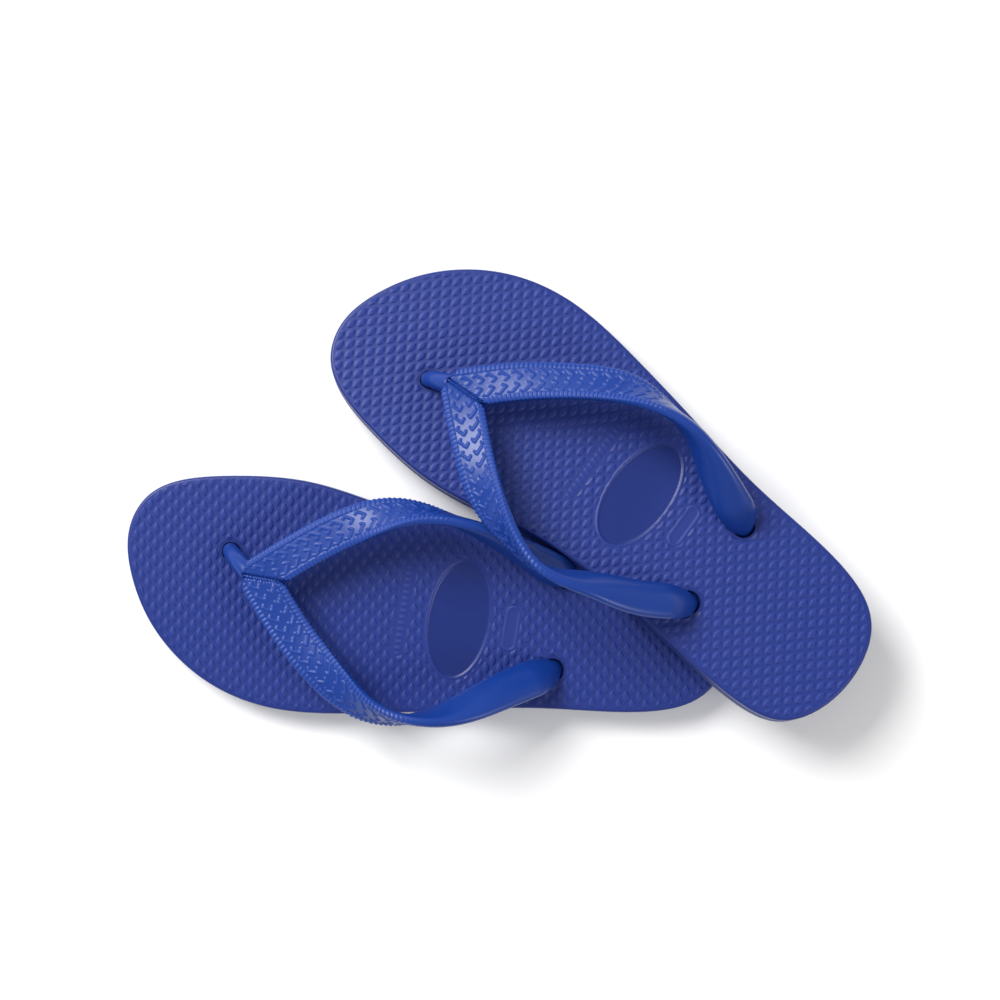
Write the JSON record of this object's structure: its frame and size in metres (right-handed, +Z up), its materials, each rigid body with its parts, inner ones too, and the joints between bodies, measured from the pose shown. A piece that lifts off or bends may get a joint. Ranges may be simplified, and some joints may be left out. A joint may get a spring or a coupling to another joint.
{
  "type": "pair of flip flops",
  "caption": "Pair of blue rubber flip flops with a moulded V thong on a flexible wedge sole, the right one lying across the heel of the left one.",
  "frame": {"origin": "bottom centre of the pair's box, on the ground", "axes": "+Z up. The left sole lies flat with its toe towards -X and its big toe side towards +Y. The right shoe lies across its heel, turned 27 degrees clockwise seen from above, with its toe towards -X as well."},
  "size_m": [0.3092, 0.1954, 0.067],
  "materials": {
    "footbed": "matte embossed navy blue rubber",
    "outsole": "matte navy blue rubber",
    "thong": "satin moulded blue rubber"
  },
  "bodies": {
    "left_rear": {"left_outsole_rear": "outsole", "left_footbed_rear": "footbed", "left_outer_strap": "thong", "left_inner_strap": "thong", "left_outer_plug": "thong", "left_inner_plug": "thong"},
    "left_front": {"left_outsole_front": "outsole", "left_footbed_front": "footbed", "left_toe_post": "thong"},
    "right_rear": {"right_outsole_rear": "outsole", "right_footbed_rear": "footbed", "right_outer_strap": "thong", "right_inner_strap": "thong", "right_outer_plug": "thong", "right_inner_plug": "thong"},
    "right_front": {"right_outsole_front": "outsole", "right_footbed_front": "footbed", "right_toe_post": "thong"}
  },
  "joints": [
    {"name": "left_toe_flex", "type": "hinge", "parent": "left_rear", "child": "left_front", "pos_m": [-0.0726, -0.04977, 0.01346], "axis": [0, 1, 0], "range_deg": [0, 45], "stiffness_Nm_per_rad": 1.5, "deforming": ["left_outer_strap", "left_inner_strap"]},
    {"name": "right_lift", "type": "slide", "parent": "left_rear", "child": "right_rear", "axis": [0, 0, 1], "range_m": [0, 0.12]},
    {"name": "right_toe_flex", "type": "hinge", "parent": "right_rear", "child": "right_front", "pos_m": [-0.00036, 0.0437, 0.02155], "axis": [0.4492, 0.8854, -0.1195], "range_deg": [0, 45], "stiffness_Nm_per_rad": 1.5, "deforming": ["right_outer_strap", "right_inner_strap"]}
  ]
}
